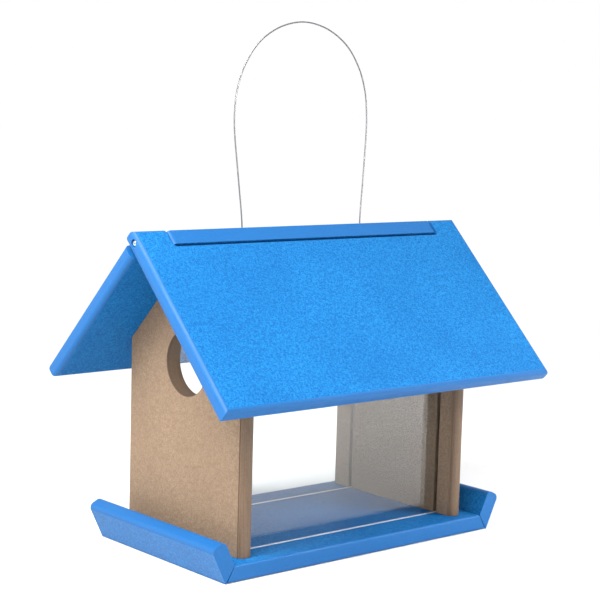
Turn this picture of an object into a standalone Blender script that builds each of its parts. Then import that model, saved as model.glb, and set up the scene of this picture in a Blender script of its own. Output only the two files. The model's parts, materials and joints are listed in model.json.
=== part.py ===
"""Hanging bird feeder shaped like a small house, built from 12.7 mm recycled-plastic boards.

The frame: X runs along the ridge, the front faces -Y, Z is up, and the origin is
under the middle of the base board. The front roof panel is the lid: it turns about
two screws that run through its tabs into the ends of the rear panel's tongue.
"""

from math import cos, pi, radians, sin, tan

import bmesh
import bpy
from mathutils import Matrix, Vector

# Driving dimensions, in metres.
BOARD = 0.0127
GAP = 0.0003
ROUND_STEPS = 4
RUNNING_GAP = 0.0003

ROOF_LENGTH = 0.3302
ROOF_SLOPE = radians(45)
ROOF_PEAK = 0.2477
SLOPE_LENGTH = 0.1615
RIDGE_OVERHANG = 0.0022
ROOF_EDGE_ROUND = 0.0042

NOTCH_HALF = 0.1365
NOTCH_DEPTH = 0.0174
NOTCH_ROUND = 0.004
TONGUE_HALF = 0.135
TONGUE_ROUND = 0.003
SHOULDER_GAP = 0.0028
HINGE_DEPTH = 0.0056

GABLE_OUTER = 0.1152
GABLE_FRONT = 0.0702
GABLE_REAR = 0.0715
NOSE_DEPTH = 0.0040
NOSE_STEP = 0.00095
NOSE_FLAT = 0.0006
HOLE_RADIUS = 0.025
HOLE_HEIGHT = 0.147
GROOVE_Y = 0.0518
GROOVE_WIDTH = 0.0034
GROOVE_DEPTH = 0.0055
PANE = 0.0024
PANE_TOP_GAP = 0.001

BASE_HALF_LENGTH = 0.1348
BASE_HALF_DEPTH = 0.0794
BASE_EDGE_ROUND = 0.0020
TRAY_LEAN = radians(26)
TRAY_HEIGHT = 0.0296
TRAY_TOP_ROUND = 0.0045

CABLE_RADIUS = 0.0006
CABLE_HOLE = 0.0012
CABLE_Y = 0.005
CABLE_ENTRY_X = 0.0607
CABLE_END = 0.2115
WASHER_HOLE = 0.0018
WASHER_RADIUS = 0.005
WASHER = 0.001
CABLE_ROUTE = [
    (-0.0607, 0.2118), (-0.0607, 0.2270), (-0.0607, 0.2420), (-0.0619, 0.2570), (-0.0645, 0.2760),
    (-0.0677, 0.2990), (-0.0703, 0.3190), (-0.0708, 0.3350), (-0.0685, 0.3530), (-0.0612, 0.3715),
    (-0.0475, 0.3888), (-0.0270, 0.4008), (-0.0032, 0.4053), (0.0206, 0.4008), (0.0411, 0.3888),
    (0.0548, 0.3715), (0.0621, 0.3530), (0.0645, 0.3350), (0.0647, 0.3190), (0.0637, 0.2990),
    (0.0624, 0.2760), (0.0611, 0.2570), (0.0607, 0.2420), (0.0607, 0.2270), (0.0607, 0.2118),
]

# Screws are (head radius, shank radius, length, head height).
BASE_SCREW = (0.0042, 0.0020, 0.0318, 0.0030)
ROOF_SCREW = (0.0042, 0.0020, 0.0254, 0.0030)
TRAY_SCREW = (0.0032, 0.0016, 0.0155, 0.0022)
BASE_SCREW_Y = 0.036
ROOF_SCREW_UPPER = 0.045
ROOF_SCREW_LOWER = 0.105
TRAY_SCREW_Y = 0.045
TRAY_SCREW_BACK = 0.0060
HINGE_SEAT = 0.0026
HINGE_SCREW = 0.047

BLUE = (0.010, 0.165, 0.70)
TAN = (0.37, 0.265, 0.18)
CLEAR = (0.92, 0.95, 0.96)
STEEL = (0.55, 0.56, 0.58)
ALUMINIUM = (0.66, 0.67, 0.69)

# Lengths that follow from the driving ones.
ROOF_HALF = ROOF_LENGTH / 2
GABLE_INNER = GABLE_OUTER - BOARD
GABLE_MIDDLE = GABLE_OUTER - BOARD / 2
GABLE_PEAK = ROOF_PEAK - BOARD / cos(ROOF_SLOPE) - GAP
MITRE = (pi / 2 - TRAY_LEAN) / 2
DOWN_FRONT = Vector((0, -cos(ROOF_SLOPE), -sin(ROOF_SLOPE)))
INTO_FRONT = Vector((0, sin(ROOF_SLOPE), -cos(ROOF_SLOPE)))
DOWN_REAR = Vector((0, cos(ROOF_SLOPE), -sin(ROOF_SLOPE)))
INTO_REAR = Vector((0, -sin(ROOF_SLOPE), -cos(ROOF_SLOPE)))
PEAK = Vector((0, 0, ROOF_PEAK))
RIDGE_CORNER = PEAK - DOWN_FRONT * RIDGE_OVERHANG
HINGE = RIDGE_CORNER + DOWN_FRONT * (RIDGE_OVERHANG + BOARD / 2) + INTO_FRONT * HINGE_DEPTH


def clear_scene():
    for obj in list(bpy.data.objects):
        bpy.data.objects.remove(obj)


def make_material(name, colour, roughness, metallic=0.0, alpha=1.0):
    material = bpy.data.materials.new(name)
    material.use_nodes = True
    shader = material.node_tree.nodes["Principled BSDF"]
    shader.inputs["Base Color"].default_value = (*colour, 1.0)
    shader.inputs["Roughness"].default_value = roughness
    shader.inputs["Metallic"].default_value = metallic
    shader.inputs["Alpha"].default_value = alpha
    return material


def add_object(name, mesh_builder, material, matrix=None, smooth=False):
    """A named object from a filled bmesh, with its own material."""
    mesh = bpy.data.meshes.new(name)
    bmesh.ops.recalc_face_normals(mesh_builder, faces=mesh_builder.faces)
    mesh_builder.to_mesh(mesh)
    mesh_builder.free()
    obj = bpy.data.objects.new(name, mesh)
    bpy.context.scene.collection.objects.link(obj)
    obj.data.materials.append(material)
    if matrix is not None:
        obj.matrix_world = matrix
    if smooth:
        mesh.shade_smooth()
        mesh.set_sharp_from_angle(angle=radians(35))
    return obj


def arc(centre, radius, start, end, steps):
    """Points along an arc, both ends included; the angles are in degrees."""
    turns = [radians(start + (end - start) * i / steps) for i in range(steps + 1)]
    return [(centre[0] + radius * cos(a), centre[1] + radius * sin(a)) for a in turns]


def prism(outline, low, high):
    """A bmesh solid: the outline's (u, v) points, extruded along w from low to high."""
    bm = bmesh.new()
    face = bm.faces.new([bm.verts.new((u, v, low)) for u, v in outline])
    grown = bmesh.ops.extrude_face_region(bm, geom=[face])["geom"]
    top = [item for item in grown if isinstance(item, bmesh.types.BMVert)]
    bmesh.ops.translate(bm, verts=top, vec=(0, 0, high - low))
    return bm


def round_edges(bm, chosen, radius, steps=ROUND_STEPS):
    """Rounds the edges for which chosen(start, end) is true."""
    edges = [e for e in bm.edges if chosen(e.verts[0].co, e.verts[1].co)]
    bmesh.ops.bevel(
        bm, geom=edges, offset=radius, segments=steps, profile=0.5, affect="EDGES", clamp_overlap=True
    )


def axes_matrix(origin, u, v, w):
    """The matrix that places local (u, v, w) axes at an origin."""
    turn = Matrix((u, v, w)).transposed().to_4x4()
    return Matrix.Translation(origin) @ turn


def turned(profile, segments=16):
    """A solid of revolution about local Z from (radius, height) points, closed at both ends."""
    bm = bmesh.new()
    rings = []
    for radius, height in profile:
        if radius == 0:
            rings.append([bm.verts.new((0, 0, height))])
            continue
        angles = [2 * pi * i / segments for i in range(segments)]
        rings.append([bm.verts.new((radius * cos(a), radius * sin(a), height)) for a in angles])
    for ring, other in zip(rings, rings[1:]):
        for i in range(segments):
            j = (i + 1) % segments
            near = [ring[i % len(ring)], ring[j % len(ring)]]
            far = [other[j % len(other)], other[i % len(other)]]
            bm.faces.new(list(dict.fromkeys([*near, *far])))
    return bm


def facing(point, direction):
    """The matrix that puts local +Z along a direction, at a point."""
    return Matrix.Translation(point) @ Vector(direction).to_track_quat("Z", "Y").to_matrix().to_4x4()


def cut(target, bm, matrix, name):
    """Cuts a bmesh shape from an object with an exact Boolean."""
    cutter = add_object(name, bm, target.data.materials[0], matrix)
    cutter.hide_render = True
    cutter.display_type = "WIRE"
    modifier = target.modifiers.new(name, "BOOLEAN")
    modifier.operation = "DIFFERENCE"
    modifier.solver = "EXACT"
    modifier.object = cutter


def base_board():
    """The floor, mitred at both ends under the tray's raised ends."""
    run_in = BOARD * tan(MITRE)
    outline = [
        (-BASE_HALF_LENGTH, 0),
        (BASE_HALF_LENGTH, 0),
        (BASE_HALF_LENGTH - run_in, BOARD),
        (-BASE_HALF_LENGTH + run_in, BOARD),
    ]
    bm = prism(outline, -BASE_HALF_DEPTH, BASE_HALF_DEPTH)
    long_way = BASE_HALF_LENGTH
    round_edges(bm, lambda a, b: abs(a.x - b.x) > long_way, BASE_EDGE_ROUND)
    matrix = axes_matrix(Vector(), Vector((1, 0, 0)), Vector((0, 0, 1)), Vector((0, -1, 0)))
    return add_object("base_board", bm, blue, matrix, smooth=True)


def tray_end(name, side):
    """A raised end board: it leans outwards, and a mitre joins it to the base board."""
    foot = BASE_HALF_LENGTH + GAP
    cut_up = BOARD * tan(MITRE)
    outline = [(0, 0), (TRAY_HEIGHT, 0), (TRAY_HEIGHT, BOARD), (cut_up, BOARD)]
    bm = prism(outline, -BASE_HALF_DEPTH, BASE_HALF_DEPTH)
    at_top = TRAY_HEIGHT - GAP
    round_edges(bm, lambda a, b: min(a.x, b.x) > at_top and abs(a.z - b.z) > BOARD, TRAY_TOP_ROUND)
    up = Vector((side * sin(TRAY_LEAN), 0, cos(TRAY_LEAN)))
    inward = Vector((-side * cos(TRAY_LEAN), 0, sin(TRAY_LEAN)))
    matrix = axes_matrix(Vector((side * foot, 0, 0)), up, inward, up.cross(inward))
    return add_object(name, bm, blue, matrix, smooth=True)


def nose_waste(way, steps=5):
    """One side's waste from a gable's front edge, in plan. It leaves a step and a half-oval nose."""
    start = -GABLE_FRONT + NOSE_DEPTH
    reach = BOARD / 2 - NOSE_STEP - NOSE_FLAT
    turns = [pi / 2 * i / steps for i in range(steps + 1)]
    oval = [(way * (NOSE_FLAT + reach * cos(a)), start - NOSE_DEPTH * sin(a)) for a in turns]
    beyond = -GABLE_FRONT - BOARD
    return [(way * BOARD, start), *oval, (way * NOSE_FLAT, beyond), (way * BOARD, beyond)]


def gable(name, side):
    """An end wall with its round hole, and two saw kerfs inside for the panes."""
    low = BOARD + GAP
    outline = [
        (-GABLE_FRONT, low),
        (GABLE_REAR, low),
        (GABLE_REAR, GABLE_PEAK - GABLE_REAR * tan(ROOF_SLOPE)),
        (0, GABLE_PEAK),
        (-GABLE_FRONT, GABLE_PEAK - GABLE_FRONT * tan(ROOF_SLOPE)),
    ]
    inner, outer = sorted((side * GABLE_INNER, side * GABLE_OUTER))
    bm = prism(outline, inner, outer)
    matrix = axes_matrix(Vector(), Vector((0, 1, 0)), Vector((0, 0, 1)), Vector((1, 0, 0)))
    wall = add_object(name, bm, tan_board, matrix, smooth=True)
    for way, label in ((-1, "left"), (1, "right")):
        trim = prism(nose_waste(way), 0, ROOF_PEAK)
        spot = Vector((side * GABLE_MIDDLE, 0, 0))
        cut(wall, trim, Matrix.Translation(spot), f"{name}_nose_{label}_cutter")
    reach = 2 * BOARD
    hole = turned([(0, -reach), (HOLE_RADIUS, -reach), (HOLE_RADIUS, reach), (0, reach)], 48)
    cut(wall, hole, facing((side * GABLE_MIDDLE, 0, HOLE_HEIGHT), (1, 0, 0)), name + "_hole_cutter")
    for place in (-GROOVE_Y, GROOVE_Y):
        near = side * (GABLE_INNER - BOARD)
        far = side * (GABLE_INNER + GROOVE_DEPTH)
        half = GROOVE_WIDTH / 2
        kerf = prism(
            [(near, place - half), (far, place - half), (far, place + half), (near, place + half)],
            -BOARD,
            ROOF_PEAK,
        )
        label = "front" if place < 0 else "rear"
        cut(wall, kerf, Matrix(), f"{name}_{label}_kerf_cutter")
    return wall


def window(name, place):
    """A clear pane at y = place. It stands on the floor, with its sides in the gables' kerfs."""
    half = GABLE_INNER + GROOVE_DEPTH - 2 * GAP
    thick = PANE / 2
    top = GABLE_PEAK - (abs(place) + thick) * tan(ROOF_SLOPE) - PANE_TOP_GAP
    outline = [(-half, BOARD + GAP), (half, BOARD + GAP), (half, top), (-half, top)]
    bm = prism(outline, -thick, thick)
    matrix = axes_matrix(Vector((0, place, 0)), Vector((1, 0, 0)), Vector((0, 0, 1)), Vector((0, -1, 0)))
    return add_object(name, bm, clear, matrix)


def roof_rear_panel():
    """The fixed panel. Its tongue fills the lid's notch, and its shoulders stop short under the lid."""
    shoulder = BOARD + SHOULDER_GAP
    inner = TONGUE_HALF - TONGUE_ROUND
    outline = [
        *arc((-inner, TONGUE_ROUND), TONGUE_ROUND, 180, 270, 4),
        *arc((inner, TONGUE_ROUND), TONGUE_ROUND, 270, 360, 4),
        (TONGUE_HALF, shoulder),
        (ROOF_HALF, shoulder),
        (ROOF_HALF, SLOPE_LENGTH),
        (-ROOF_HALF, SLOPE_LENGTH),
        (-ROOF_HALF, shoulder),
        (-TONGUE_HALF, shoulder),
    ]
    bm = prism(outline, 0, BOARD)

    def on_rim(a, b):
        ends = min(abs(a.x), abs(b.x)) > ROOF_HALF - GAP and min(a.y, b.y) > shoulder - GAP
        eave = min(a.y, b.y) > SLOPE_LENGTH - GAP
        return (ends or eave) and abs(a.z - b.z) < GAP

    round_edges(bm, on_rim, ROOF_EDGE_ROUND)
    matrix = axes_matrix(PEAK, Vector((-1, 0, 0)), DOWN_REAR, INTO_REAR)
    panel = add_object("roof_rear_panel", bm, blue, matrix, smooth=True)
    for side, label in ((-1, "left"), (1, "right")):
        reach = ROOF_PEAK / 2
        hole = turned([(0, -reach), (CABLE_HOLE, -reach), (CABLE_HOLE, reach), (0, reach)], 12)
        point = (side * CABLE_ENTRY_X, CABLE_Y, ROOF_PEAK)
        cut(panel, hole, facing(point, (0, 0, 1)), f"cable_hole_{label}_cutter")
    return panel


def roof_front_panel():
    """The lid. Its mesh is made about the hinge axis, where the object's origin lies."""
    top = -(RIDGE_OVERHANG + BOARD / 2)
    notch = top + NOTCH_DEPTH
    eave = SLOPE_LENGTH - BOARD / 2
    inner = NOTCH_HALF - NOTCH_ROUND
    right_corner = arc((inner, notch - NOTCH_ROUND), NOTCH_ROUND, 0, 90, 4)
    left_corner = arc((-inner, notch - NOTCH_ROUND), NOTCH_ROUND, 90, 180, 4)
    outline = [
        (-ROOF_HALF, eave),
        (-ROOF_HALF, top),
        (-NOTCH_HALF, top),
        *reversed(left_corner),
        *reversed(right_corner),
        (NOTCH_HALF, top),
        (ROOF_HALF, top),
        (ROOF_HALF, eave),
    ]
    bm = prism(outline, -HINGE_DEPTH, BOARD - HINGE_DEPTH)

    def on_rim(a, b):
        ends = min(abs(a.x), abs(b.x)) > ROOF_HALF - GAP
        eaves = min(a.y, b.y) > eave - GAP
        ridge = max(a.y, b.y) < top + GAP
        return (ends or eaves or ridge) and abs(a.z - b.z) < GAP

    round_edges(bm, on_rim, ROOF_EDGE_ROUND)
    lid_axis = bpy.data.objects.new("lid_axis", None)
    bpy.context.scene.collection.objects.link(lid_axis)
    lid_axis.matrix_world = axes_matrix(HINGE, Vector((1, 0, 0)), DOWN_FRONT, INTO_FRONT)
    panel = add_object("roof_front_panel", bm, blue, smooth=True)
    panel.parent = lid_axis
    return panel


def screw_profile(sizes, grow=0.0, mouth=0.0):
    """A flat-head screw along +Z, its head at zero. Its hole is wider by grow, and has an open mouth."""
    head, shank, length, head_height = sizes
    tip = shank * 1.6
    return [
        (0, -mouth),
        (head + grow, -mouth),
        (head + grow, head_height * 0.15 + grow),
        (shank + grow, head_height + grow),
        (shank + grow, length - tip + grow),
        (0, length + 2 * grow),
    ]


def add_screw(name, boards, point, direction, sizes, sink, mouth=0.006):
    """A countersunk screw, sunk below a board's face, with a clear hole cut for it in each board."""
    place = facing(Vector(point) + direction * sink, direction)
    for board in boards:
        hole = turned(screw_profile(sizes, GAP, mouth), 12)
        cut(board, hole, place, f"{name}_in_{board.name}_cutter")
    return add_object(name, turned(screw_profile(sizes), 12), steel, place, smooth=True)


def base_screws(base, walls):
    """Two screws up through the base board into each gable."""
    for side, wall, label in ((-1, walls[0], "left"), (1, walls[1], "right")):
        for y, place in ((-BASE_SCREW_Y, "front"), (BASE_SCREW_Y, "rear")):
            point = (side * GABLE_MIDDLE, y, 0)
            name = f"base_screw_{label}_{place}"
            add_screw(name, (base, wall), point, Vector((0, 0, 1)), BASE_SCREW, 0.0008)


def roof_screws(panel, walls):
    """Two screws through the rear panel into each gable's sloping edge."""
    for side, wall, label in ((-1, walls[0], "left"), (1, walls[1], "right")):
        for down, place in ((ROOF_SCREW_UPPER, "upper"), (ROOF_SCREW_LOWER, "lower")):
            point = PEAK + DOWN_REAR * down + Vector((side * GABLE_MIDDLE, 0, 0))
            name = f"roof_screw_{label}_{place}"
            add_screw(name, (panel, wall), point, INTO_REAR, ROOF_SCREW, 0.0004)


def tray_screws(base, ends):
    """Two pocket screws in the base's underside into each tray end, square to the mitre."""
    for side, board, label in ((-1, ends[0], "left"), (1, ends[1], "right")):
        for y, place in ((-TRAY_SCREW_Y, "front"), (TRAY_SCREW_Y, "rear")):
            direction = Vector((side * cos(MITRE), 0, sin(MITRE)))
            joint = Vector((side * (BASE_HALF_LENGTH - BOARD / 2 * tan(MITRE)), y, BOARD / 2))
            seat = joint - direction * TRAY_SCREW_BACK
            name = f"tray_screw_{label}_{place}"
            add_screw(name, (base, board), seat, direction, TRAY_SCREW, 0.0, mouth=0.02)


def hinge_screws(rear, front):
    """The lid's two pivots: pan-head screws, sunk in the panel's ends and held in the tongue."""
    for side, label in ((-1, "left"), (1, "right")):
        direction = Vector((-side, 0, 0))
        seat = Vector((side * (ROOF_HALF - HINGE_SEAT), HINGE.y, HINGE.z))
        profile = [
            (0, -0.0022), (0.0018, -0.0020), (0.0025, -0.0011), (0.0026, 0), (0.0016, 0),
            (0.0016, HINGE_SCREW - 0.004), (0, HINGE_SCREW),
        ]
        hole = [
            (0, -0.01), (0.0029, -0.01), (0.0029, GAP), (0.0016 + RUNNING_GAP, GAP),
            (0.0016 + RUNNING_GAP, HINGE_SCREW - 0.004), (0, HINGE_SCREW + 2 * GAP),
        ]
        cut(rear, turned(hole), facing(seat, direction), f"hinge_hole_{label}_rear_cutter")
        lid_hole = turned(hole)
        cutter_place = front.matrix_world.inverted() @ facing(seat, direction)
        bmesh.ops.transform(lid_hole, matrix=cutter_place, verts=lid_hole.verts)
        name = f"hinge_hole_{label}_lid_cutter"
        cut(front, lid_hole, None, name)
        bpy.data.objects[name].parent = front
        add_object(f"hinge_screw_{label}", turned(profile), steel, facing(seat, direction), smooth=True)


def smooth_through(points, per_gap):
    """Points on a Catmull-Rom curve through the given points."""
    ends = [2 * points[0] - points[1], *points, 2 * points[-1] - points[-2]]
    result = []
    for i in range(1, len(ends) - 2):
        before, start, end, after = ends[i - 1 : i + 3]
        for step in range(per_gap):
            t = step / per_gap
            result.append(
                0.5 * (
                    2 * start
                    + (end - before) * t
                    + (2 * before - 5 * start + 4 * end - after) * t * t
                    + (3 * start - before - 3 * end + after) * t ** 3
                )
            )
    return result + [points[-1]]


def hanger_cable():
    """The steel cable loop: up through the rear panel's holes, and held by stops under them."""
    route = [Vector((x, CABLE_Y, z)) for x, z in CABLE_ROUTE]
    points = smooth_through(route, 3)
    curve = bpy.data.curves.new("hanger_cable", "CURVE")
    curve.dimensions = "3D"
    curve.bevel_depth = CABLE_RADIUS
    curve.bevel_resolution = 2
    curve.use_fill_caps = True
    spline = curve.splines.new("POLY")
    spline.points.add(len(points) - 1)
    for slot, point in zip(spline.points, points):
        slot.co = (*point, 1)
    obj = bpy.data.objects.new("hanger_cable", curve)
    bpy.context.scene.collection.objects.link(obj)
    obj.data.materials.append(steel)
    return obj


def cable_stops():
    """On each cable end, a washer flat under the sloping panel, and a sleeve crimped below it."""
    for side, label in ((-1, "left"), (1, "right")):
        end = Vector((side * CABLE_ENTRY_X, CABLE_Y, CABLE_END))
        sleeve = [
            (0, -0.0015), (0.0019, -0.0015), (0.0022, -0.0011), (0.0022, 0.0081),
            (0.0019, 0.0085), (0.0009, 0.0085), (0.0009, -GAP), (0, -GAP),
        ]
        up = facing(end, (0, 0, 1))
        add_object(f"cable_stop_{label}", turned(sleeve, 12), aluminium, up, smooth=True)
        deep = (BOARD + GAP + WASHER / 2) / cos(ROOF_SLOPE)
        middle = Vector((end.x, CABLE_Y, ROOF_PEAK - CABLE_Y * tan(ROOF_SLOPE) - deep))
        add_object(f"cable_washer_{label}", washer_ring(), steel, facing(middle, INTO_REAR))


def washer_ring(segments=16):
    """A flat ring about local Z."""
    half = WASHER / 2
    outline = [(WASHER_HOLE, -half), (WASHER_RADIUS, -half), (WASHER_RADIUS, half), (WASHER_HOLE, half)]
    bm = bmesh.new()
    angles = [2 * pi * i / segments for i in range(segments)]
    rings = [[bm.verts.new((r * cos(a), r * sin(a), z)) for a in angles] for r, z in outline]
    for ring, other in zip(rings, rings[1:] + rings[:1]):
        for i in range(segments):
            j = (i + 1) % segments
            bm.faces.new([ring[i], ring[j], other[j], other[i]])
    return bm


clear_scene()
blue = make_material("blue_board", BLUE, 0.45)
tan_board = make_material("tan_board", TAN, 0.55)
clear = make_material("clear_pane", CLEAR, 0.05, alpha=0.2)
steel = make_material("steel", STEEL, 0.3, metallic=1.0)
aluminium = make_material("aluminium", ALUMINIUM, 0.4, metallic=1.0)

base = base_board()
tray_ends = [tray_end("tray_end_left", -1), tray_end("tray_end_right", 1)]
gables = [gable("gable_left", -1), gable("gable_right", 1)]
window("window_front", -GROOVE_Y)
window("window_rear", GROOVE_Y)
rear_panel = roof_rear_panel()
front_panel = roof_front_panel()
bpy.context.view_layer.update()
base_screws(base, gables)
roof_screws(rear_panel, gables)
tray_screws(base, tray_ends)
hinge_screws(rear_panel, front_panel)
hanger_cable()
cable_stops()
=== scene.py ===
"""The looks of a hanging bird feeder shaped like a small house.

Every board, pane, screw and the cable is made again here in fine detail, in the place of its CAD node:
routed edges, a hole with its cutter's rings, threaded screws with cross recesses, and a cable of seven
twisted strands. The frame is the CAD's: X along the ridge, the front towards -Y, Z up, metres.
"""

import json
import random
from math import cos, pi, radians, sin, sqrt, tan

import bmesh
import bpy
from mathutils import Matrix, Vector


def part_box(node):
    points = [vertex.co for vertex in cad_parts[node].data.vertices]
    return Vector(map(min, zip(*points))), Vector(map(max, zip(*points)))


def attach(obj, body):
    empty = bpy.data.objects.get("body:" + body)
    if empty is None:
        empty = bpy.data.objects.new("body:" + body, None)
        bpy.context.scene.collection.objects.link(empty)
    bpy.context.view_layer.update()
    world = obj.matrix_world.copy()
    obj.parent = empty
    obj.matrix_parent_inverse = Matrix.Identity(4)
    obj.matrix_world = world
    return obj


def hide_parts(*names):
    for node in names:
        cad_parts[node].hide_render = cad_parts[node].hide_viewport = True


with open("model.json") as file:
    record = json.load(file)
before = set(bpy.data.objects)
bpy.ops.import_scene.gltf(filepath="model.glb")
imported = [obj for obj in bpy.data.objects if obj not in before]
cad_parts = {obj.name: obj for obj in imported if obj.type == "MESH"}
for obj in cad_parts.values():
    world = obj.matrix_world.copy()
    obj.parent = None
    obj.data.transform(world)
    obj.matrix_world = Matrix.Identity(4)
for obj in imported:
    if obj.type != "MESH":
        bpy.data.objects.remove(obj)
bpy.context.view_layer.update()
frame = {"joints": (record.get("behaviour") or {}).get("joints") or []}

# The feeder's own sizes, in metres.
SLOPE = radians(45)
SLOPE_LENGTH = 0.1615
RIDGE_OVERHANG = 0.0022
NOTCH_HALF = 0.1365
NOTCH_DEPTH = 0.0174
NOTCH_ROUND = 0.004
TONGUE_HALF = 0.135
TONGUE_ROUND = 0.003
SHOULDER_GAP = 0.0028
HINGE_DEPTH = 0.0056
ROOF_EDGE_ROUND = 0.0042
BASE_EDGE_ROUND = 0.0020
NOSE_DEPTH = 0.0040
NOSE_STEP = 0.00095
NOSE_FLAT = 0.0006
HOLE_RADIUS = 0.025
HOLE_HEIGHT = 0.147
GROOVE_Y = 0.0518
GROOVE_WIDTH = 0.0034
GROOVE_DEPTH = 0.0055
TRAY_LEAN = radians(26)
TRAY_HEIGHT = 0.0296
TRAY_TOP_ROUND = 0.0045
HAIRLINE = 0.00005
EDGE_BREAK = 0.00035
MITRE_OPENS = 0.0007
HEAD_PLAY = 0.0002
DRILL_POINT = 0.0004

CABLE_DIAMETER = 0.0012
CABLE_Y = 0.005
CABLE_LAY = 0.0075
CABLE_HOLE = 0.0012
WASHER_HOLE = 0.0018
WASHER = 0.001
WASHER_LIP = 0.00015
CABLE_ROUTE = [
    (-0.0607, 0.2118), (-0.0607, 0.2270), (-0.0607, 0.2420), (-0.0619, 0.2570), (-0.0645, 0.2760),
    (-0.0677, 0.2990), (-0.0703, 0.3190), (-0.0708, 0.3350), (-0.0685, 0.3530), (-0.0612, 0.3715),
    (-0.0475, 0.3888), (-0.0270, 0.4008), (-0.0032, 0.4053), (0.0206, 0.4008), (0.0411, 0.3888),
    (0.0548, 0.3715), (0.0621, 0.3530), (0.0645, 0.3350), (0.0647, 0.3190), (0.0637, 0.2990),
    (0.0624, 0.2760), (0.0611, 0.2570), (0.0607, 0.2420), (0.0607, 0.2270), (0.0607, 0.2118),
]

# The frame gives the rest.
BASE_LOW, BASE_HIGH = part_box("base_board")
REAR_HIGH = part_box("roof_rear_panel")[1]
GABLE_LOW, GABLE_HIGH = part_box("gable_right")
BOARD = BASE_HIGH.z - BASE_LOW.z
ROOF_HALF = REAR_HIGH.x
PEAK = Vector((0, 0, REAR_HIGH.z))
HINGE = Vector(frame["joints"][0]["pos_m"])
MITRE = (pi / 2 - TRAY_LEAN) / 2
DOWN_FRONT = Vector((0, -cos(SLOPE), -sin(SLOPE)))
INTO_FRONT = Vector((0, sin(SLOPE), -cos(SLOPE)))
DOWN_REAR = Vector((0, cos(SLOPE), -sin(SLOPE)))
INTO_REAR = Vector((0, -sin(SLOPE), -cos(SLOPE)))
RIGHT = Vector((1, 0, 0))
UP = Vector((0, 0, 1))


# Camera, light and floor -------------------------------------------------------------------------

VIEW_TURN = radians(40.577)
VIEW_DOWN = radians(6.990)
VIEW_ROLL = radians(1.632)
VIEW_DISTANCE = 1.2897
VIEW_TARGET = Vector((-0.0049, 0, 0.1887))
VIEW_LENS = 98.09


def add_camera():
    ahead = Vector((sin(VIEW_TURN) * cos(VIEW_DOWN), cos(VIEW_TURN) * cos(VIEW_DOWN), -sin(VIEW_DOWN)))
    level = ahead.cross(UP).normalized()
    above = level.cross(ahead)
    right = level * cos(VIEW_ROLL) + above * sin(VIEW_ROLL)
    above = above * cos(VIEW_ROLL) - level * sin(VIEW_ROLL)
    camera = bpy.data.objects.new("camera", bpy.data.cameras.new("camera"))
    bpy.context.scene.collection.objects.link(camera)
    camera.data.lens = VIEW_LENS
    camera.data.sensor_width = 36
    camera.data.clip_start = 0.01
    turn = Matrix((right, above, -ahead)).transposed().to_4x4()
    camera.matrix_world = Matrix.Translation(VIEW_TARGET - ahead * VIEW_DISTANCE) @ turn
    bpy.context.scene.camera = camera


def add_softbox(name, spot, aim, width, height, power, spread):
    """A soft rectangular lamp that faces a point. Its light spreads by an angle in degrees."""
    light = bpy.data.lights.new(name, "AREA")
    light.shape = "RECTANGLE"
    light.size = width
    light.size_y = height
    light.energy = power
    light.spread = radians(spread)
    lamp = bpy.data.objects.new(name, light)
    bpy.context.scene.collection.objects.link(lamp)
    turn = (Vector(aim) - Vector(spot)).to_track_quat("-Z", "Y").to_matrix().to_4x4()
    lamp.matrix_world = Matrix.Translation(spot) @ turn


def add_studio():
    world = bpy.data.worlds.new("studio")
    world.use_nodes = True
    background = world.node_tree.nodes["Background"]
    background.inputs["Color"].default_value = (1, 1, 1, 1)
    background.inputs["Strength"].default_value = WORLD_LIGHT
    bpy.context.scene.world = world
    for lamp in LAMPS:
        add_softbox(*lamp)
    bpy.context.scene.view_settings.view_transform = "Standard"
    mesh = bpy.data.meshes.new("studio_floor")
    bm = bmesh.new()
    bmesh.ops.create_grid(bm, x_segments=1, y_segments=1, size=FLOOR_HALF)
    bm.to_mesh(mesh)
    bm.free()
    floor = bpy.data.objects.new("studio_floor", mesh)
    bpy.context.scene.collection.objects.link(floor)
    floor.location.z = -FLOOR_DROP
    mesh.materials.append(floor_material())


WORLD_LIGHT = 1.0
# Each lamp is its name, its place, the point it faces, its width and height, its power and its spread.
LAMPS = [
    ("overhead_softbox", (-0.9, -0.9, 1.3), (0, 0, 0.1), 1.0, 1.0, 9, 180),
    ("upper_left_softbox", (-0.68, -0.17, 0.86), (-0.1, 0, 0.1), 0.5, 0.5, 20, 180),
    ("rear_left_softbox", (-1.25, 1.3, 0.35), (-0.1, 0, 0.15), 0.8, 0.7, 2.5, 120),
    ("right_softbox", (0.9, -1.9, 0.75), (0.2, -0.3, 0.05), 1.2, 1.0, 2, 180),
    ("right_floor_wash", (0.75, -0.95, 0.7), (0.42, -0.55, 0), 0.3, 0.3, 5.5, 60),
]
FLOOR_HALF = 12
FLOOR_DROP = 0.0003


# Shader helpers ----------------------------------------------------------------------------------


def new_material(name):
    """A material with a Principled shader. Returns the material, its node tree and the shader."""
    material = bpy.data.materials.new(name)
    material.use_nodes = True
    tree = material.node_tree
    return material, tree, tree.nodes["Principled BSDF"]


def add_node(tree, kind, links=None, **values):
    """A node with some inputs set to numbers or colours, and others linked to outputs."""
    made = tree.nodes.new(kind)
    for name, value in values.items():
        if hasattr(made, name):
            setattr(made, name, value)
        else:
            made.inputs[name].default_value = value
    for name, output in (links or {}).items():
        tree.links.new(output, made.inputs[name])
    return made


def place(tree, stretch=(1, 1, 1), attribute=None):
    """The piece's own coordinates in metres, or a stored attribute, stretched along each axis."""
    if attribute:
        source = add_node(tree, "ShaderNodeAttribute", attribute_name=attribute).outputs["Vector"]
    else:
        source = add_node(tree, "ShaderNodeTexCoord").outputs["Object"]
    mapping = add_node(tree, "ShaderNodeMapping", {"Vector": source})
    mapping.inputs["Scale"].default_value = stretch
    return mapping.outputs["Vector"]


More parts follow.
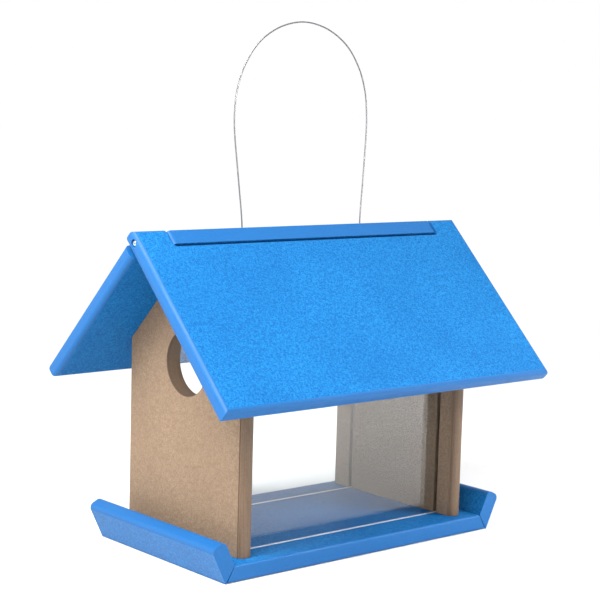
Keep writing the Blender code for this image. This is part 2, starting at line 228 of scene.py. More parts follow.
def noise(tree, where, scale, detail=2.0, rough=0.5):
    made = add_node(tree, "ShaderNodeTexNoise", {"Vector": where})
    made.inputs["Scale"].default_value = scale
    made.inputs["Detail"].default_value = detail
    made.inputs["Roughness"].default_value = rough
    return made.outputs["Fac"]


def levels(tree, value, low, high, out_low=0.0, out_high=1.0):
    """Maps a value's low..high to out_low..out_high, clamped."""
    made = add_node(tree, "ShaderNodeMapRange", {"Value": value})
    made.inputs["From Min"].default_value = low
    made.inputs["From Max"].default_value = high
    made.inputs["To Min"].default_value = out_low
    made.inputs["To Max"].default_value = out_high
    return made.outputs["Result"]


def math(tree, operation, first, second):
    made = tree.nodes.new("ShaderNodeMath")
    made.operation = operation
    for socket, value in zip(made.inputs, (first, second)):
        if isinstance(value, (int, float)):
            socket.default_value = value
        else:
            tree.links.new(value, socket)
    return made.outputs[0]


def mix(tree, share, first, second):
    """Mixes two colours, each a colour or an output, by a share from 0 to 1."""
    made = tree.nodes.new("ShaderNodeMix")
    made.data_type = "RGBA"
    sockets = (made.inputs[0], made.inputs[6], made.inputs[7])
    for socket, value in zip(sockets, (share, first, second)):
        if isinstance(value, (int, float)):
            socket.default_value = value
        elif isinstance(value, tuple):
            socket.default_value = (*value, 1.0)
        else:
            tree.links.new(value, socket)
    return made.outputs[2]


def bump(tree, shader, height, depth):
    made = add_node(tree, "ShaderNodeBump", {"Height": height})
    made.inputs["Strength"].default_value = 1.0
    made.inputs["Distance"].default_value = depth
    tree.links.new(made.outputs["Normal"], shader.inputs["Normal"])


# Materials ---------------------------------------------------------------------------------------


EDGE_GLOSS = 0.25


def board_material(name, base, dark, light, cut, fleck, gloss):
    """Recycled-plastic board: a mottled, finely grained face, and routed edges with fine tool lines."""
    material, tree, shader = new_material(name)
    here = place(tree)
    along = place(tree, (1, 1, 0.02), attribute="edge_run")
    machined = add_node(tree, "ShaderNodeAttribute", attribute_name="machined").outputs["Fac"]

    fine = math(tree, "MULTIPLY", noise(tree, here, 1000, 2), 0.6)
    mottle = math(tree, "ADD", fine, math(tree, "MULTIPLY", noise(tree, here, 420, 3, 0.6), 0.4))
    grain = noise(tree, here, 1700, 2)
    cloud = noise(tree, here, 14, 2)
    face = mix(tree, levels(tree, mottle, 0.36, 0.51), dark, base)
    face = mix(tree, levels(tree, mottle, 0.49, 0.64), face, light)
    face = mix(tree, levels(tree, cloud, 0.3, 0.7, 0.0, 0.35), face, dark)
    specks = tree.nodes.new("ShaderNodeTexVoronoi")
    tree.links.new(here, specks.inputs["Vector"])
    specks.inputs["Scale"].default_value = 420
    spots = levels(tree, specks.outputs["Distance"], 0.10, 0.26, fleck, 0.0)
    face = mix(tree, spots, face, dark)

    lines = noise(tree, along, 1500, 3, 0.6)
    edge = mix(tree, levels(tree, lines, 0.3, 0.7, 0.0, 0.4), cut, base)
    edge = mix(tree, levels(tree, mottle, 0.4, 0.62, 0.35, 0.0), edge, dark)
    colour = mix(tree, machined, face, edge)
    tree.links.new(colour, shader.inputs["Base Color"])

    face_rough = levels(tree, grain, 0.3, 0.7, 0.52, 0.68)
    edge_rough = levels(tree, lines, 0.3, 0.7, 0.42, 0.56)
    rough = add_node(tree, "ShaderNodeMix", {"Factor": machined, "A": face_rough, "B": edge_rough})
    tree.links.new(rough.outputs["Result"], shader.inputs["Roughness"])
    tree.links.new(levels(tree, machined, 0, 1, gloss, EDGE_GLOSS), shader.inputs["Specular IOR Level"])

    peel = math(tree, "ADD", math(tree, "MULTIPLY", mottle, 1.2), math(tree, "MULTIPLY", grain, 0.5))
    tool = math(tree, "ADD", math(tree, "MULTIPLY", lines, 0.9), math(tree, "MULTIPLY", grain, 0.3))
    height = add_node(tree, "ShaderNodeMix", {"Factor": machined, "A": peel, "B": tool})
    bump(tree, shader, height.outputs["Result"], 0.00022)
    return material


def pane_material():
    """Clear extruded plastic: it reflects like a thin sheet and otherwise lets light straight through."""
    material, tree, shader = new_material("clear_pane")
    here = place(tree)
    facing_away = add_node(tree, "ShaderNodeLayerWeight", Blend=0.5).outputs["Facing"]
    steep = math(tree, "POWER", facing_away, 5.0)
    share = math(tree, "ADD", math(tree, "MULTIPLY", steep, 0.96), 0.04)
    clear = add_node(tree, "ShaderNodeBsdfTransparent", Color=(0.975, 0.985, 0.985, 1))
    gloss = tree.nodes.new("ShaderNodeBsdfGlossy")
    gloss.inputs["Color"].default_value = (1, 1, 1, 1)
    scuffs = levels(tree, noise(tree, here, 45, 4, 0.7), 0.55, 0.8, 0.012, 0.07)
    tree.links.new(scuffs, gloss.inputs["Roughness"])
    both = add_node(tree, "ShaderNodeMixShader", {"Fac": share})
    tree.links.new(clear.outputs[0], both.inputs[1])
    tree.links.new(gloss.outputs[0], both.inputs[2])
    output = tree.nodes["Material Output"]
    tree.links.new(both.outputs[0], output.inputs["Surface"])
    tree.nodes.remove(shader)
    return material


def pane_edge_material():
    """The pane's sawn edges, which scatter light and look white."""
    material, tree, shader = new_material("pane_sawn_edge")
    along = place(tree)
    marks = noise(tree, along, 1200, 3)
    tone = mix(tree, marks, (0.42, 0.48, 0.54), (0.72, 0.78, 0.84))
    tree.links.new(tone, shader.inputs["Base Color"])
    shader.inputs["Roughness"].default_value = 0.45
    shader.inputs["Transmission Weight"].default_value = 0.35
    bump(tree, shader, marks, 0.0001)
    return material


def metal_material(name, dark, light, rough, scale, depth):
    """Plain bright metal with a fine, slightly uneven finish."""
    material, tree, shader = new_material(name)
    here = place(tree)
    cloud = noise(tree, here, scale, 3, 0.6)
    fine = noise(tree, here, scale * 6, 2)
    tree.links.new(mix(tree, cloud, dark, light), shader.inputs["Base Color"])
    shader.inputs["Metallic"].default_value = 1.0
    tree.links.new(levels(tree, fine, 0.3, 0.7, rough * 0.7, rough * 1.3), shader.inputs["Roughness"])
    bump(tree, shader, fine, depth)
    return material


def floor_material():
    """Pale paper, paler still far away, where the lamps don't reach, so that no horizon shows."""
    material, tree, shader = new_material("studio_floor")
    here = place(tree)
    fine = noise(tree, here, 300, 2)
    near = mix(tree, fine, (0.70, 0.70, 0.70), (0.74, 0.74, 0.74))
    distance = tree.nodes.new("ShaderNodeVectorMath")
    distance.operation = "LENGTH"
    tree.links.new(here, distance.inputs[0])
    far = levels(tree, distance.outputs["Value"], 0.6, 2.2)
    tree.links.new(mix(tree, far, near, (1.0, 1.0, 1.0)), shader.inputs["Base Color"])
    shader.inputs["Roughness"].default_value = 0.9
    shader.inputs["Specular IOR Level"].default_value = 0.0
    return material


# Mesh helpers ------------------------------------------------------------------------------------


def arc(centre, radius, start, end, steps):
    """Points along an arc, both ends included; the angles are in degrees."""
    turns = [radians(start + (end - start) * i / steps) for i in range(steps + 1)]
    return [(centre[0] + radius * cos(a), centre[1] + radius * sin(a)) for a in turns]


def prism(outline, low, high):
    """A bmesh solid: the outline's (u, v) points, extruded along w from low to high."""
    bm = bmesh.new()
    face = bm.faces.new([bm.verts.new((u, v, low)) for u, v in outline])
    grown = bmesh.ops.extrude_face_region(bm, geom=[face])["geom"]
    top = [item for item in grown if isinstance(item, bmesh.types.BMVert)]
    bmesh.ops.translate(bm, verts=top, vec=(0, 0, high - low))
    return bm


def round_edges(bm, chosen, radius, steps=8):
    """Rounds the edges for which chosen(start, end) is true."""
    edges = [e for e in bm.edges if chosen(e.verts[0].co, e.verts[1].co)]
    bmesh.ops.bevel(
        bm, geom=edges, offset=radius, segments=steps, profile=0.5, affect="EDGES", clamp_overlap=True
    )


def axes_matrix(origin, u, v, w):
    """The matrix that places local (u, v, w) axes at an origin."""
    return Matrix.Translation(origin) @ Matrix((u, v, w)).transposed().to_4x4()


def facing(point, direction):
    """The matrix that puts local +Z along a direction, at a point."""
    return Matrix.Translation(point) @ Vector(direction).to_track_quat("Z", "Y").to_matrix().to_4x4()


def turned(profile, segments):
    """A closed solid of revolution about local Z from (radius, height) points."""
    bm = bmesh.new()
    rings = []
    for radius, height in profile:
        if radius == 0:
            rings.append([bm.verts.new((0, 0, height))])
            continue
        angles = [2 * pi * i / segments for i in range(segments)]
        rings.append([bm.verts.new((radius * cos(a), radius * sin(a), height)) for a in angles])
    for ring, other in zip(rings, rings[1:]):
        for i in range(segments):
            j = (i + 1) % segments
            near = [ring[i % len(ring)], ring[j % len(ring)]]
            far = [other[j % len(other)], other[i % len(other)]]
            bm.faces.new(list(dict.fromkeys([*near, *far])))
    return bm


def mesh_object(name, bm, matrix=None):
    """An object from a bmesh, which is moved into place first so that the object stays at the origin."""
    if matrix is not None:
        bmesh.ops.transform(bm, matrix=matrix, verts=bm.verts)
    bmesh.ops.recalc_face_normals(bm, faces=bm.faces)
    mesh = bpy.data.meshes.new(name)
    bm.to_mesh(mesh)
    bm.free()
    obj = bpy.data.objects.new(name, mesh)
    bpy.context.scene.collection.objects.link(obj)
    return obj


def finished(obj, cutters=(), edge_break=EDGE_BREAK, steps=2):
    """Applies the cuts, then breaks every sharp edge a little and shades the flat faces flat."""
    for cutter in cutters:
        modifier = obj.modifiers.new(cutter.name, "BOOLEAN")
        modifier.operation = "DIFFERENCE"
        modifier.solver = "EXACT"
        modifier.object = cutter
    if edge_break:
        softened = obj.modifiers.new("edge_break", "BEVEL")
        softened.width = edge_break
        softened.segments = steps
        softened.limit_method = "ANGLE"
        softened.angle_limit = radians(32)
        softened.use_clamp_overlap = True
    bpy.context.view_layer.update()
    evaluated = obj.evaluated_get(bpy.context.evaluated_depsgraph_get())
    mesh = bpy.data.meshes.new_from_object(evaluated)
    obj.modifiers.clear()
    obj.data = mesh
    for cutter in cutters:
        bpy.data.objects.remove(cutter)
    mesh.shade_smooth()
    mesh.set_sharp_from_angle(angle=radians(50))
    weighted = obj.modifiers.new("flat_faces", "WEIGHTED_NORMAL")
    weighted.keep_sharp = True
    weighted.weight = 80
    return obj


def mark_edges(obj, across, hole=None, flat=0.995):
    """Stores what the board material needs: which faces are machined, and coordinates along each cut."""
    mesh = obj.data
    machined = mesh.attributes.new("machined", "FLOAT", "FACE")
    run = mesh.attributes.new("edge_run", "FLOAT_VECTOR", "CORNER")
    for face in mesh.polygons:
        turn = face.normal.dot(across)
        outward = face.normal - across * turn
        machined.data[face.index].value = 0.0 if abs(turn) > flat else 1.0
        if outward.length < 0.01:
            continue
        outward.normalize()
        along = across.cross(outward)
        near_hole = hole is not None and (face.center - hole).cross(across).length < HOLE_RADIUS + 0.001
        origin = hole if near_hole else Vector()
        for loop in face.loop_indices:
            point = mesh.vertices[mesh.loops[loop].vertex_index].co - origin
            forwards = 0 if near_hole else point.dot(along)
            run.data[loop].vector = (point.dot(across), point.dot(outward), forwards)


def settle(obj, node, material, body="house"):
    """Gives a piece its material, and stands it in for its CAD node."""
    if material is not None:
        obj.data.materials.clear()
        obj.data.materials.append(material)
    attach(obj, body)
    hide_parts(node)
    return obj


# Boards ------------------------------------------------------------------------------------------


def floor_board(drills):
    """The floor board. Its mitres open a little towards the bottom."""
    half = BASE_HIGH.x
    run_in = BOARD * tan(MITRE)
    foot = half - MITRE_OPENS
    outline = [(-foot, 0), (foot, 0), (half - run_in, BOARD), (-half + run_in, BOARD)]
    bm = prism(outline, -BASE_HIGH.y, BASE_HIGH.y)
    round_edges(bm, lambda a, b: abs(a.x - b.x) > half, BASE_EDGE_ROUND)
    obj = mesh_object("floor_board", bm, axes_matrix(Vector(), RIGHT, UP, Vector((0, -1, 0))))
    finished(obj, drills, edge_break=0.0002)
    mark_edges(obj, UP)
    return settle(obj, "base_board", blue)


def tray_board(side, label, drills):
    """A raised tray end, with a well rounded top and a mitred foot."""
    foot = BASE_HIGH.x + 6 * HAIRLINE
    outline = [(0, 0), (TRAY_HEIGHT, 0), (TRAY_HEIGHT, BOARD), (BOARD * tan(MITRE), BOARD)]
    bm = prism(outline, -BASE_HIGH.y, BASE_HIGH.y)
    at_top = TRAY_HEIGHT - HAIRLINE
    round_edges(bm, lambda a, b: min(a.x, b.x) > at_top and abs(a.z - b.z) > BOARD, TRAY_TOP_ROUND, 10)
    up = Vector((side * sin(TRAY_LEAN), 0, cos(TRAY_LEAN)))
    inward = Vector((-side * cos(TRAY_LEAN), 0, sin(TRAY_LEAN)))
    matrix = axes_matrix(RIGHT * side * foot, up, inward, up.cross(inward))
    obj = mesh_object(f"{label}_tray_board", bm, matrix)
    finished(obj, drills, edge_break=0.0002)
    mark_edges(obj, inward)
    return settle(obj, f"tray_end_{label}", left_tray_blue if side < 0 else blue)


def gable_board(side, label, drills):
    """An end wall: its hole has the cutter's rings, and its two saw kerfs hold the panes."""
    front, rear = GABLE_LOW.y, GABLE_HIGH.y
    low = BOARD + HAIRLINE
    peak = GABLE_HIGH.z
    front_top = peak + front * tan(SLOPE)
    rear_top = peak - rear * tan(SLOPE)
    outline = [(front, low), (rear, low), (rear, rear_top), (0, peak), (front, front_top)]
    inner, outer = sorted((side * GABLE_LOW.x, side * GABLE_HIGH.x))
    bm = prism(outline, inner, outer)
    name = f"{label}_gable_board"
    obj = mesh_object(name, bm, axes_matrix(Vector(), Vector((0, 1, 0)), UP, RIGHT))
    middle = Vector((side * (GABLE_LOW.x + GABLE_HIGH.x) / 2, 0, HOLE_HEIGHT))
    noses = [nose_waste(way, middle.x, f"{name}_nose_{way}") for way in (-1, 1)]
    ringed = mesh_object(name + "_hole", turned(hole_profile(), 96), facing(middle, RIGHT))
    kerfs = [kerf(side, y, f"{name}_kerf_{i}") for i, y in enumerate((-GROOVE_Y, GROOVE_Y))]
    finished(obj, [*noses, ringed, *kerfs, *drills], edge_break=0.0002)
    mark_edges(obj, RIGHT, hole=middle)
    return settle(obj, f"gable_{label}", tan_board)


def nose_waste(way, middle, name, steps=12):
    """What is cut from one side of a gable's front edge. It leaves a step and a half-oval nose."""
    start = GABLE_LOW.y + NOSE_DEPTH
    reach = BOARD / 2 - NOSE_STEP - NOSE_FLAT
    turns = [pi / 2 * i / steps for i in range(steps + 1)]
    oval = [(way * (NOSE_FLAT + reach * cos(a)), start - NOSE_DEPTH * sin(a)) for a in turns]
    beyond = GABLE_LOW.y - BOARD
    outline = [(way * BOARD, start), *oval, (way * NOSE_FLAT, beyond), (way * BOARD, beyond)]
    return mesh_object(name, prism(outline, 0, PEAK.z), Matrix.Translation((middle, 0, 0)))


def hole_profile():
    """The hole saw's path: a wall with fine, uneven rings."""
    dice = random.Random(4)
    reach = BOARD
    count = 34
    wall = []
    for i in range(count + 1):
        height = -reach + 2 * reach * i / count
        wall.append((HOLE_RADIUS - dice.choice((0, 0.00006, 0.00013, 0.0002)), height))
    return [(0, -reach), *wall, (0, reach)]


def kerf(side, y, name):
    near = side * (GABLE_LOW.x - BOARD)
    far = side * (GABLE_LOW.x + GROOVE_DEPTH)
    half = GROOVE_WIDTH / 2
    outline = [(near, y - half), (far, y - half), (far, y + half), (near, y + half)]
    return mesh_object(name, prism(outline, -BOARD, PEAK.z))


def rear_roof_board(drills):
    """The fixed roof board, with its tongue and its two cable holes."""
    shoulder = BOARD + SHOULDER_GAP
    inner = TONGUE_HALF - TONGUE_ROUND
    outline = [
        *arc((-inner, TONGUE_ROUND), TONGUE_ROUND, 180, 270, 8),
        *arc((inner, TONGUE_ROUND), TONGUE_ROUND, 270, 360, 8),
        (TONGUE_HALF, shoulder),
        (ROOF_HALF, shoulder),
        (ROOF_HALF, SLOPE_LENGTH),
        (-ROOF_HALF, SLOPE_LENGTH),
        (-ROOF_HALF, shoulder),
        (-TONGUE_HALF, shoulder),
    ]
    bm = prism(outline, 0, BOARD - HAIRLINE)

    def on_rim(a, b):
        ends = min(abs(a.x), abs(b.x)) > ROOF_HALF - HAIRLINE and min(a.y, b.y) > shoulder - HAIRLINE
        eave = min(a.y, b.y) > SLOPE_LENGTH - HAIRLINE
        return (ends or eave) and abs(a.z - b.z) < HAIRLINE

    round_edges(bm, on_rim, ROOF_EDGE_ROUND)
    obj = mesh_object("rear_roof_board", bm, axes_matrix(PEAK, -RIGHT, DOWN_REAR, INTO_REAR))
    holes = []
    for side in (-1, 1):
        profile = [(0, -BOARD * 3), (CABLE_HOLE, -BOARD * 3), (CABLE_HOLE, BOARD * 3), (0, BOARD * 3)]
        point = (side * abs(CABLE_ROUTE[0][0]), CABLE_Y, PEAK.z - BOARD)
        holes.append(mesh_object(f"cable_hole_{side}", turned(profile, 24), facing(point, UP)))
    finished(obj, [*holes, *drills])
    mark_edges(obj, INTO_REAR)
    return settle(obj, "roof_rear_panel", blue)


def front_roof_board(drills):
    """The lid, with the notch for the tongue."""
    top = -(RIDGE_OVERHANG + BOARD / 2)
    notch = top + NOTCH_DEPTH
    eave = SLOPE_LENGTH - BOARD / 2
    inner = NOTCH_HALF - NOTCH_ROUND
    outline = [
        (-ROOF_HALF, eave),
        (-ROOF_HALF, top),
        (-NOTCH_HALF, top),
        *arc((-inner, notch - NOTCH_ROUND), NOTCH_ROUND, 180, 90, 8),
        *arc((inner, notch - NOTCH_ROUND), NOTCH_ROUND, 90, 0, 8),
        (NOTCH_HALF, top),
        (ROOF_HALF, top),
        (ROOF_HALF, eave),
    ]
    bm = prism(outline, -HINGE_DEPTH, BOARD - HINGE_DEPTH)

    def on_rim(a, b):
        ends = min(abs(a.x), abs(b.x)) > ROOF_HALF - HAIRLINE
        eaves = min(a.y, b.y) > eave - HAIRLINE
        ridge = max(a.y, b.y) < top + HAIRLINE
        return (ends or eaves or ridge) and abs(a.z - b.z) < HAIRLINE

    round_edges(bm, on_rim, ROOF_EDGE_ROUND)
    obj = mesh_object("lid_board", bm, axes_matrix(HINGE, RIGHT, DOWN_FRONT, INTO_FRONT))
    finished(obj, drills)
    mark_edges(obj, INTO_FRONT)
    return settle(obj, "roof_front_panel", blue, body="lid")


def window_pane(place_name):
    """A clear pane with polished faces and sawn edges."""
    node = f"window_{place_name}"
    low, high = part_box(node)
    outline = [(low.x, low.z), (high.x, low.z), (high.x, high.z), (low.x, high.z)]
    half = (high.y - low.y) / 2
    matrix = axes_matrix(Vector((0, (low.y + high.y) / 2, 0)), RIGHT, UP, Vector((0, -1, 0)))
    obj = mesh_object(f"{place_name}_pane", prism(outline, -half, half), matrix)
    finished(obj, edge_break=0.00015, steps=1)
    for material in (clear, sawn):
        obj.data.materials.append(material)
    for face in obj.data.polygons:
        face.material_index = 0 if abs(face.normal.y) > 0.99 else 1
    return settle(obj, node, None)


# Screws ------------------------------------------------------------------------------------------


def head_place(node, direction):
    """Where a screw's head is centred: its CAD box and its direction say so."""
    low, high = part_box(node)
    spread = min(high[i] - low[i] for i in range(3) if abs(direction[i]) < 0.01) / 2
    point = []
    for i in range(3):
        reach = spread * sqrt(max(0.0, 1 - direction[i] ** 2))
        if abs(direction[i]) < 0.01:
            point.append((low[i] + high[i]) / 2)
        elif direction[i] > 0:
            point.append(low[i] + reach)
        else:
            point.append(high[i] - reach)
    return Vector(point)


def threaded_shank(bm, start, length, radius, pitch, segments=20, per_turn=8):
    """A screw thread from start to a sharp point, as one closed surface around local Z."""
    root = radius * 0.66
    count = int((length - start) / pitch * per_turn)
    rings = []
    for row in range(count + 1):
        z = start + (length - start) * row / count
        left = (length - z) / (radius * 2.4)
        taper = min(1.0, left)
        ring = []
        for i in range(segments):
            angle = 2 * pi * i / segments
            phase = (z / pitch - i / segments) % 1.0
            ridge = max(0.0, 1 - abs(phase - 0.5) * 3.2)
            grow = min(1.0, row / per_turn)
            r = (root + (radius - root) * ridge * grow) * taper + 0.00002
            ring.append(bm.verts.new((r * cos(angle), r * sin(angle), z)))
        rings.append(ring)
    for ring, other in zip(rings, rings[1:]):
        for i in range(segments):
            j = (i + 1) % segments
            bm.faces.new([ring[i], ring[j], other[j], other[i]])
    bm.faces.new(rings[0][::-1])
    bm.faces.new(rings[-1])


def recess_wing(name, width, depth, turn):
    """A cutter for one of a cross recess's two slots: it narrows towards the bottom."""
    thick = width * 0.13
    sections = ((-depth, width / 2, thick), (0, width / 2, thick), (depth, width * 0.16, thick * 0.5))
    bm = bmesh.new()
    rings = []
    for z, u, v in sections:
        rings.append([bm.verts.new(corner) for corner in ((-u, -v, z), (u, -v, z), (u, v, z), (-u, v, z))])
    bm.faces.new(rings[0][::-1])
    bm.faces.new(rings[-1])
    for ring, other in zip(rings, rings[1:]):
        for i in range(4):
            j = (i + 1) % 4
            bm.faces.new([ring[i], ring[j], other[j], other[i]])
    return mesh_object(name, bm, Matrix.Rotation(turn, 4, "Z"))


def screw_mesh(name, profile, shank, length, recess_width, recess_depth, pitch):
    """A head turned from a profile with a cross recess, on a threaded shank."""
    head = mesh_object(name, turned(profile, 40))
    cutters = []
    for turn, label in ((0, "first"), (pi / 2, "second")):
        cutter = recess_wing(f"{name}_{label}_slot", recess_width, recess_depth, turn)
        cutter.location.z = profile[1][1]
        cutters.append(cutter)
    finished(head, cutters, edge_break=0.00008, steps=2)
    head.modifiers.clear()
    bm = bmesh.new()
    bm.from_mesh(head.data)
    threaded_shank(bm, profile[-1][1] - 0.0003, length, shank, pitch)
    bmesh.ops.recalc_face_normals(bm, faces=bm.faces)
    bm.to_mesh(head.data)
    bm.free()
    mesh = head.data
    bpy.data.objects.remove(head)
    mesh.shade_smooth()
    mesh.set_sharp_from_angle(angle=radians(40))
    mesh.materials.append(screw_steel)
    return mesh


def flat_head(radius, height, shank):
    """A countersunk head: flat on top, with a thin rim."""
    rim = radius * 0.05
    return [
        (0, 0), (radius - rim, 0), (radius, rim), (radius, rim * 2.5),
        (shank * 0.9, height), (shank * 0.8, height + 0.0012), (0, height + 0.0012),
    ]


def pan_head(radius, height, shank):
    """A domed head above a flat seat. Its top is at zero."""
    turns = [radians(angle) for angle in (20, 40, 60, 78, 90)]
    dome = [(radius * sin(a), height * 0.75 * (1 - cos(a))) for a in turns]
    neck = height + 0.001
    return [(0, 0), *dome, (radius, height), (shank * 0.9, height), (shank * 0.8, neck), (0, neck)]


def put_screw(node, name, mesh, direction):
    obj = bpy.data.objects.new(name, mesh)
    bpy.context.scene.collection.objects.link(obj)
    obj.matrix_world = facing(head_place(node, direction), direction)
    return settle(obj, node, None)


def drill(name, node, direction, sizes, mouth=0.006):
    """The countersunk hole that a board has for a screw."""
    head, shank, length, height = sizes
    profile = [
        (0, -mouth), (head + HEAD_PLAY, -mouth), (head + HEAD_PLAY, height * 0.15), (shank, height),
        (shank, length), (0, length + DRILL_POINT),
    ]
    return mesh_object(name, turned(profile, 32), facing(head_place(node, direction), direction))


# Cable -------------------------------------------------------------------------------------------


def smooth_through(points, per_gap):
    """Points on a Catmull-Rom curve through the given points."""
    ends = [2 * points[0] - points[1], *points, 2 * points[-1] - points[-2]]
    result = []
    for i in range(1, len(ends) - 2):
        before, start, end, after = ends[i - 1 : i + 3]
        for step in range(per_gap):
            t = step / per_gap
            square = (2 * before - 5 * start + 4 * end - after) * t * t
            cube = (3 * start - before - 3 * end + after) * t ** 3
            result.append(0.5 * (2 * start + (end - before) * t + square + cube))
    return [*result, points[-1]]


def strand(bm, path, tangents, swing, start_turn, radius, sides=6):
    """One strand: a round tube that winds around the path at a distance of swing."""
    rings = []
    travelled = 0.0
    across = Vector((0, 1, 0))
    for i, (point, ahead) in enumerate(zip(path, tangents)):
        travelled += (point - path[i - 1]).length if i else 0.0
        other = ahead.cross(across)
        turn = start_turn + 2 * pi * travelled / CABLE_LAY
        centre = point + (across * cos(turn) + other * sin(turn)) * swing
        ring = []
        for k in range(sides):
            angle = 2 * pi * k / sides + turn
            ring.append(bm.verts.new(centre + (across * cos(angle) + other * sin(angle)) * radius))
        rings.append(ring)
    for ring, after in zip(rings, rings[1:]):
        for k in range(sides):
            j = (k + 1) % sides
            bm.faces.new([ring[k], ring[j], after[j], after[k]])
    bm.faces.new(rings[0][::-1])
    bm.faces.new(rings[-1])


def hanging_cable():
    """The wire rope: six strands laid around a seventh."""
    route = [Vector((x, CABLE_Y, z)) for x, z in CABLE_ROUTE]
    path = smooth_through(route, 34)
    tangents = [(b - a).normalized() for a, b in zip([path[0], *path[:-1]], [*path[1:], path[-1]])]
    radius = CABLE_DIAMETER / 6
    bm = bmesh.new()
    strand(bm, path, tangents, 0, 0, radius)
    for k in range(6):
        strand(bm, path, tangents, 2 * radius, k * pi / 3, radius)
    cable = mesh_object("hanging_cable", bm)
    cable.data.shade_smooth()
    settle(cable, "hanger_cable", cable_steel)
    return cable, path


def cable_fittings(label):
    """The crimped sleeve on one end of the cable, and the washer above it."""
    low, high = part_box(f"cable_stop_{label}")
    middle = Vector(((low.x + high.x) / 2, (low.y + high.y) / 2, low.z))
    radius = (high.x - low.x) / 2
    height = high.z - low.z
    wall = []
    for i in range(33):
        t = i / 32
        pinch = sum(0.16 * max(0.0, 1 - (abs(t - at) / 0.07) ** 2) for at in (0.28, 0.5, 0.72))
        end = 1 - 0.22 * max(0.0, 1 - min(t, 1 - t) / 0.06) ** 2
        wall.append((radius * (1 - pinch) * end, height * t))
    bore = CABLE_DIAMETER / 2 + 0.0001
    dip = height - 0.002
    profile = [(0, 0), *wall, (bore, height), (bore, dip), (0, dip)]
    sleeve = mesh_object(f"{label}_sleeve", turned(profile, 28), facing(middle, UP))
    sleeve.data.shade_smooth()
    sleeve.data.set_sharp_from_angle(angle=radians(45))
    settle(sleeve, f"cable_stop_{label}", aluminium)

    node = f"cable_washer_{label}"
    low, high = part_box(node)
    outer = (high.x - low.x) / 2
    inner = WASHER_HOLE
    half = WASHER / 2
    lip = WASHER_LIP
    section = [
        (inner, -half + lip), (inner + lip, -half), (outer - lip, -half), (outer, -half + lip),
        (outer, half - lip), (outer - lip, half), (inner + lip, half), (inner, half - lip),
    ]
    bm = bmesh.new()
    segments = 40
    angles = [2 * pi * i / segments for i in range(segments)]
    rings = [[bm.verts.new((r * cos(a), r * sin(a), z)) for a in angles] for r, z in section]
    for ring, other in zip(rings, rings[1:] + rings[:1]):
        for i in range(segments):
            j = (i + 1) % segments
            bm.faces.new([ring[i], ring[j], other[j], other[i]])
    washer = mesh_object(f"{label}_washer", bm, facing((low + high) / 2, INTO_REAR))
    washer.data.shade_smooth()
    washer.data.set_sharp_from_angle(angle=radians(35))
    settle(washer, node, screw_steel)
    return [sleeve, washer]


# Making it all -----------------------------------------------------------------------------------

add_camera()
add_studio()

# Each board's colours are its base, dark flecks, light flecks and cut edges.
BLUES = [(0.006, 0.122, 0.335), (0.003, 0.070, 0.23), (0.014, 0.185, 0.44), (0.004, 0.088, 0.27)]
blue = board_material("blue_board", *BLUES, fleck=0.45, gloss=0.1)
# The left tray end is glossier than the other boards, so that its outer face mirrors the pale floor.
left_tray_blue = board_material("left_tray_blue_board", *BLUES, fleck=0.45, gloss=0.5)
TANS = [(0.212, 0.148, 0.098), (0.168, 0.112, 0.072), (0.265, 0.19, 0.128), (0.095, 0.060, 0.037)]
tan_board = board_material("tan_board", *TANS, fleck=0.3, gloss=0.1)
clear = pane_material()
sawn = pane_edge_material()
screw_steel = metal_material("screw_steel", (0.50, 0.50, 0.50), (0.66, 0.66, 0.65), 0.28, 500, 0.00003)
cable_steel = metal_material("cable_steel", (0.16, 0.16, 0.165), (0.36, 0.36, 0.37), 0.34, 700, 0.00002)
aluminium = metal_material("sleeve_aluminium", (0.60, 0.60, 0.61), (0.76, 0.76, 0.77), 0.36, 400, 0.00004)

cable, path = hanging_cable()
fittings = cable_fittings("left") + cable_fittings("right")

# Screws are (head radius, shank radius, length, head height).
LONG_SCREW = (0.0042, 0.0020, 0.0318, 0.0030)
ROOF_SCREW = (0.0042, 0.0020, 0.0254, 0.0030)
TRAY_SCREW = (0.0032, 0.0016, 0.0155, 0.0022)
PIVOT_SCREW = (0.0026, 0.0016, 0.0492, 0.0022)
THREAD_PITCH = 0.0018
PIVOT_RECESS = 0.0016
# The pivot screw's stepped hole, measured from the top of its head.
PIVOT_BORE = 0.0029
PIVOT_SEAT = 0.0024
PIVOT_HOLE = 0.0019
PIVOT_MOUTH = 0.01


def countersunk(name, sizes):
    head, shank, length, height = sizes
    profile = flat_head(head, height, shank)
    return screw_mesh(name, profile, shank, length, head * 1.15, height * 0.8, THREAD_PITCH)


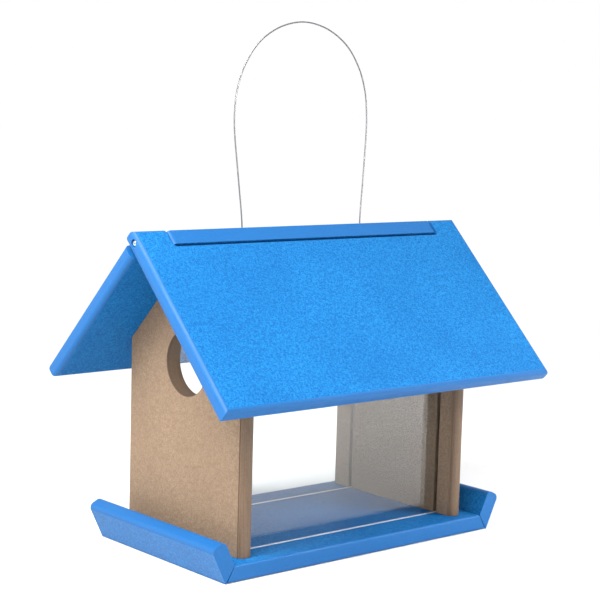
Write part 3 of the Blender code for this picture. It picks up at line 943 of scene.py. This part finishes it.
long_mesh = countersunk("long_screw", LONG_SCREW)
roof_mesh = countersunk("roof_screw", ROOF_SCREW)
tray_mesh = countersunk("tray_screw", TRAY_SCREW)
head, shank, length, height = PIVOT_SCREW
pivot_profile = pan_head(head, height, shank)
pivot_mesh = screw_mesh("pivot_screw", pivot_profile, shank, length, head * 1.1, PIVOT_RECESS, THREAD_PITCH)

floor_drills = []
tray_drills = {"left": [], "right": []}
gable_drills = {"left": [], "right": []}
rear_drills = []
lid_drills = []
for side, label in ((-1, "left"), (1, "right")):
    for spot in ("front", "rear"):
        node = f"base_screw_{label}_{spot}"
        put_screw(node, f"{label}_{spot}_base_screw", long_mesh, UP)
        floor_drills.append(drill(node + "_drill", node, UP, LONG_SCREW))
        gable_drills[label].append(drill(node + "_gable_drill", node, UP, LONG_SCREW))
        node = f"tray_screw_{label}_{spot}"
        outwards = Vector((side * cos(MITRE), 0, sin(MITRE)))
        put_screw(node, f"{label}_{spot}_tray_screw", tray_mesh, outwards)
        floor_drills.append(drill(node + "_drill", node, outwards, TRAY_SCREW, mouth=0.02))
        tray_drills[label].append(drill(node + "_tray_drill", node, outwards, TRAY_SCREW, mouth=0.02))
    for spot in ("upper", "lower"):
        node = f"roof_screw_{label}_{spot}"
        put_screw(node, f"{label}_{spot}_roof_screw", roof_mesh, INTO_REAR)
        rear_drills.append(drill(node + "_drill", node, INTO_REAR, ROOF_SCREW))
        gable_drills[label].append(drill(node + "_gable_drill", node, INTO_REAR, ROOF_SCREW))
    node = f"hinge_screw_{label}"
    inwards = Vector((-side, 0, 0))
    put_screw(node, f"{label}_hinge_screw", pivot_mesh, inwards)
    top = head_place(node, inwards)
    profile = [
        (0, -PIVOT_MOUTH), (PIVOT_BORE, -PIVOT_MOUTH), (PIVOT_BORE, PIVOT_SEAT),
        (PIVOT_HOLE, PIVOT_SEAT), (PIVOT_HOLE, length), (0, length + DRILL_POINT),
    ]
    lid_drills.append(mesh_object(node + "_lid_drill", turned(profile, 40), facing(top, inwards)))
    rear_drills.append(mesh_object(node + "_rear_drill", turned(profile, 40), facing(top, inwards)))

floor_board(floor_drills)
for side, label in ((-1, "left"), (1, "right")):
    tray_board(side, label, tray_drills[label])
    gable_board(side, label, gable_drills[label])
rear_roof_board(rear_drills)
front_roof_board(lid_drills)
window_pane("front")
window_pane("rear")
